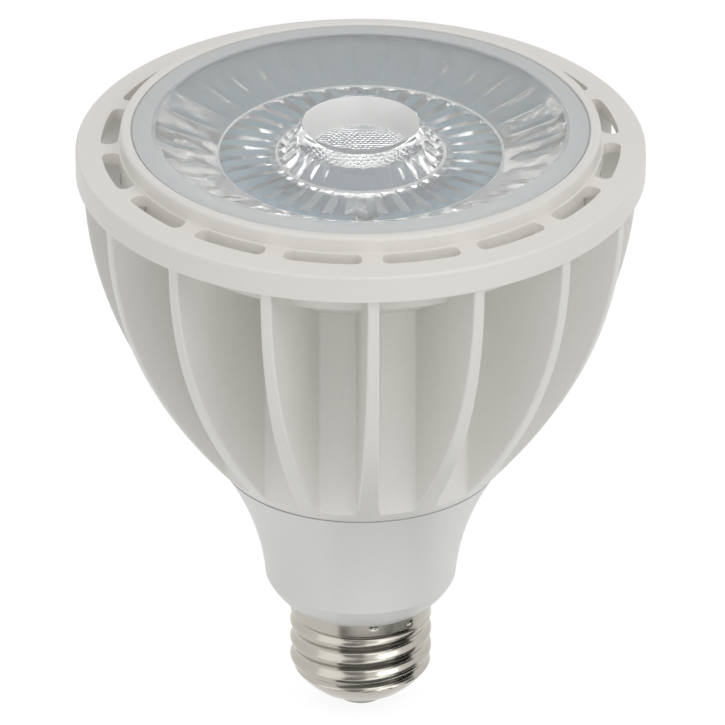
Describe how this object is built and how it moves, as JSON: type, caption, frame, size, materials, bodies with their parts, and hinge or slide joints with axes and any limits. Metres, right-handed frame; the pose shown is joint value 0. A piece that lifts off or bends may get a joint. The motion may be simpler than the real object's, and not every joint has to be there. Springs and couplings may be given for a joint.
{
  "type": "par spotlight bulb",
  "caption": "LED par spotlight bulb with a bell-shaped finned heat sink, a slotted bezel ring round a thick clear lens with a centre well, and a nickel screw base.",
  "frame": {"origin": "middle of the centre contact's flat tip, the lowest point of the bulb", "axes": "+Z along the bulb's axis from the screw base to the lens, one fin points along -Y to the front"},
  "size_m": [0.1042, 0.1042, 0.1191],
  "materials": {
    "painted_casting": "satin white powder coat",
    "white_bezel": "satin",
    "clear_lens": "clear, polished",
    "white_collar": "satin",
    "nickel_plate": "bright nickel plate",
    "insulator_black": "gloss",
    "contact_metal": "plain",
    "module_board": "white face",
    "phosphor": "clear gel",
    "white_holder": "matte",
    "thermal_pad": "matte",
    "screw_steel": "zinc plate",
    "circuit_board": "satin",
    "ferrite": "matte",
    "winding_tape": "tape",
    "capacitor_sleeve": "gloss",
    "film_case": "dipped",
    "chip_black": "matte",
    "fuse_coat": "matte",
    "varistor_coat": "gloss",
    "wire_red": "matte",
    "wire_black": "matte",
    "wire_white": "matte"
  },
  "bodies": {
    "root": {"heat_sink": "painted_casting", "heat_sink_fins": "painted_casting", "front_bezel": "white_bezel", "lens": "clear_lens", "driver_housing": "white_collar", "housing_lid": "white_collar", "screw_shell": "nickel_plate", "base_insulator": "insulator_black", "centre_contact": "contact_metal", "led_substrate": "module_board", "led_phosphor": "phosphor", "led_holder": "white_holder", "thermal_pad": "thermal_pad", "holder_screws": "screw_steel", "housing_screws": "screw_steel", "driver_board": "circuit_board", "transformer_core": "ferrite", "transformer_winding": "winding_tape", "bulk_capacitor": "capacitor_sleeve", "output_capacitor": "capacitor_sleeve", "film_capacitor": "film_case", "bridge_rectifier": "chip_black", "control_chip": "chip_black", "switching_transistor": "chip_black", "input_choke": "ferrite", "fuse_resistor": "fuse_coat", "varistor": "varistor_coat", "led_wire_positive": "wire_red", "led_wire_negative": "wire_black", "line_wire": "wire_black", "neutral_wire": "wire_white"}
  },
  "joints": []
}
